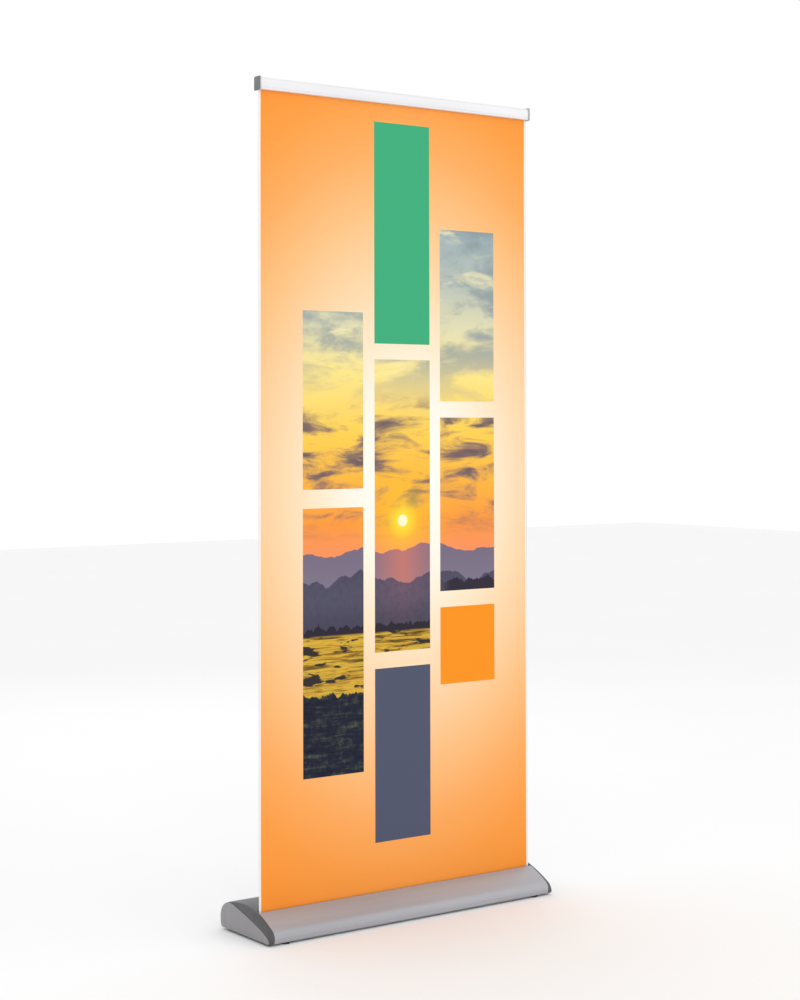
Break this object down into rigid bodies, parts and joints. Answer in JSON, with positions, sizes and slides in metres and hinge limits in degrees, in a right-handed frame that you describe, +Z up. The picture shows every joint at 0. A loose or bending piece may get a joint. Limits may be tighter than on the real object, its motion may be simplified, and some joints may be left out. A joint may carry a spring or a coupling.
{
  "type": "roll-up banner stand",
  "caption": "Retractable banner stand: spring roller in a low silver base, printed film pulled up to a clamping rail on a telescopic pole.",
  "frame": {"origin": "on the floor, under the middle of the base", "axes": "+X along the banner, +Z up, the printed side faces -Y"},
  "size_m": [0.89, 0.2294, 2.1056],
  "materials": {
    "anodised": "satin silver anodised extrusion",
    "cap_plastic": "fine moulded texture, dark grey",
    "side_plate": "satin mid grey",
    "rail_cap": "silver grey moulded plastic",
    "steel": "zinc plated",
    "pile": "short black pile",
    "white_nylon": "moulded nylon",
    "acetal": "natural acetal",
    "black_plastic": "fine moulded texture",
    "brass": "machined",
    "print_film": "satin printed polyester film",
    "plain_film": "unprinted polyester film",
    "grip_strip": "soft grey strip",
    "rubber": "matte black"
  },
  "bodies": {
    "base": {"housing_shell": "anodised", "end_cap_left": "cap_plastic", "end_cap_right": "cap_plastic", "trim_left": "side_plate", "trim_right": "side_plate", "cap_screws": "steel", "front_seal": "pile", "rear_seal": "pile", "idler_axle": "steel", "spring_shaft": "steel", "spring_anchor": "white_nylon", "axle_clips": "steel", "pole_socket": "black_plastic", "socket_screws": "steel", "foot_inserts": "brass", "banner_film": "print_film", "pole_lower_tube": "anodised", "pole_bottom_plug": "black_plastic", "lower_collet": "white_nylon"},
    "roller": {"roller_tube": "anodised", "tube_plug_left": "white_nylon", "tube_plug_right": "white_nylon", "bush_left": "acetal", "bush_right": "acetal", "torsion_spring": "steel", "film_wound": "plain_film"},
    "middle_stage": {"pole_middle_tube": "anodised", "middle_guide": "black_plastic", "upper_collet": "white_nylon"},
    "top_rail": {"rail_back": "anodised", "rail_strip_back": "grip_strip", "rail_cap_left": "rail_cap", "rail_cap_right": "rail_cap", "rail_cap_screws": "steel", "pole_upper_tube": "anodised", "upper_guide": "black_plastic", "pole_head": "black_plastic"},
    "front_jaw": {"rail_jaw": "anodised", "rail_strip_front": "grip_strip"},
    "lower_twist_lock": {"lower_lock": "black_plastic"},
    "upper_twist_lock": {"upper_lock": "black_plastic"},
    "foot_sole_front_left": {"sole_front_left": "rubber"},
    "foot_stud_front_left": {"stud_front_left": "black_plastic"},
    "foot_sole_front_right": {"sole_front_right": "rubber"},
    "foot_stud_front_right": {"stud_front_right": "black_plastic"},
    "foot_sole_rear_left": {"sole_rear_left": "rubber"},
    "foot_stud_rear_left": {"stud_rear_left": "black_plastic"},
    "foot_sole_rear_right": {"sole_rear_right": "rubber"},
    "foot_stud_rear_right": {"stud_rear_right": "black_plastic"}
  },
  "joints": [
    {"name": "rail_height", "type": "slide", "parent": "base", "child": "top_rail", "axis": [0, 0, 1], "range_m": [-1.226, 0], "deforming": ["banner_film"]},
    {"name": "pole_middle_slide", "type": "slide", "parent": "base", "child": "middle_stage", "axis": [0, 0, 1], "range_m": [-0.6131, 0]},
    {"name": "roller_spin", "type": "hinge", "parent": "base", "child": "roller", "pos_m": [0, -0.01928, 0.0318], "axis": [1, 0, 0], "range_deg": [0, 3800], "stiffness_Nm_per_rad": 0.0015, "springref_deg": 5695.2},
    {"name": "rail_jaw_open", "type": "hinge", "parent": "top_rail", "child": "front_jaw", "pos_m": [0, -0.04468, 2.09833], "axis": [-1, 0, 0], "range_deg": [0, 60], "stiffness_Nm_per_rad": 0.2, "springref_deg": -17.19},
    {"name": "lower_lock_twist", "type": "hinge", "parent": "base", "child": "lower_twist_lock", "pos_m": [0, -0.00828, 0.72], "axis": [0, 0, 1], "range_deg": [0, 90]},
    {"name": "upper_lock_twist", "type": "hinge", "parent": "middle_stage", "child": "upper_twist_lock", "pos_m": [0, -0.00828, 1.4], "axis": [0, 0, 1], "range_deg": [0, 90]},
    {"name": "foot_level_front_left", "type": "slide", "parent": "base", "child": "foot_sole_front_left", "axis": [0, 0, 1], "range_m": [-0.006, 0]},
    {"name": "foot_turn_front_left", "type": "hinge", "parent": "foot_sole_front_left", "child": "foot_stud_front_left", "pos_m": [-0.39, -0.09978, 0.003], "axis": [0, 0, 1], "range_deg": [-1730, 0]},
    {"name": "foot_level_front_right", "type": "slide", "parent": "base", "child": "foot_sole_front_right", "axis": [0, 0, 1], "range_m": [-0.006, 0]},
    {"name": "foot_turn_front_right", "type": "hinge", "parent": "foot_sole_front_right", "child": "foot_stud_front_right", "pos_m": [0.39, -0.09978, 0.003], "axis": [0, 0, 1], "range_deg": [-1730, 0]},
    {"name": "foot_level_rear_left", "type": "slide", "parent": "base", "child": "foot_sole_rear_left", "axis": [0, 0, 1], "range_m": [-0.006, 0]},
    {"name": "foot_turn_rear_left", "type": "hinge", "parent": "foot_sole_rear_left", "child": "foot_stud_rear_left", "pos_m": [-0.39, 0.09472, 0.003], "axis": [0, 0, 1], "range_deg": [-1730, 0]},
    {"name": "foot_level_rear_right", "type": "slide", "parent": "base", "child": "foot_sole_rear_right", "axis": [0, 0, 1], "range_m": [-0.006, 0]},
    {"name": "foot_turn_rear_right", "type": "hinge", "parent": "foot_sole_rear_right", "child": "foot_stud_rear_right", "pos_m": [0.39, 0.09472, 0.003], "axis": [0, 0, 1], "range_deg": [-1730, 0]}
  ],
  "couplings": [
    {"joint": "pole_middle_slide", "follows": "rail_height", "ratio": 0.5},
    {"joint": "roller_spin", "follows": "rail_height", "rad_per_m": -54.054},
    {"joint": "foot_turn_front_left", "follows": "foot_level_front_left", "rad_per_m": 5026.5},
    {"joint": "foot_turn_front_right", "follows": "foot_level_front_right", "rad_per_m": 5026.5},
    {"joint": "foot_turn_rear_left", "follows": "foot_level_rear_left", "rad_per_m": 5026.5},
    {"joint": "foot_turn_rear_right", "follows": "foot_level_rear_right", "rad_per_m": 5026.5}
  ]
}
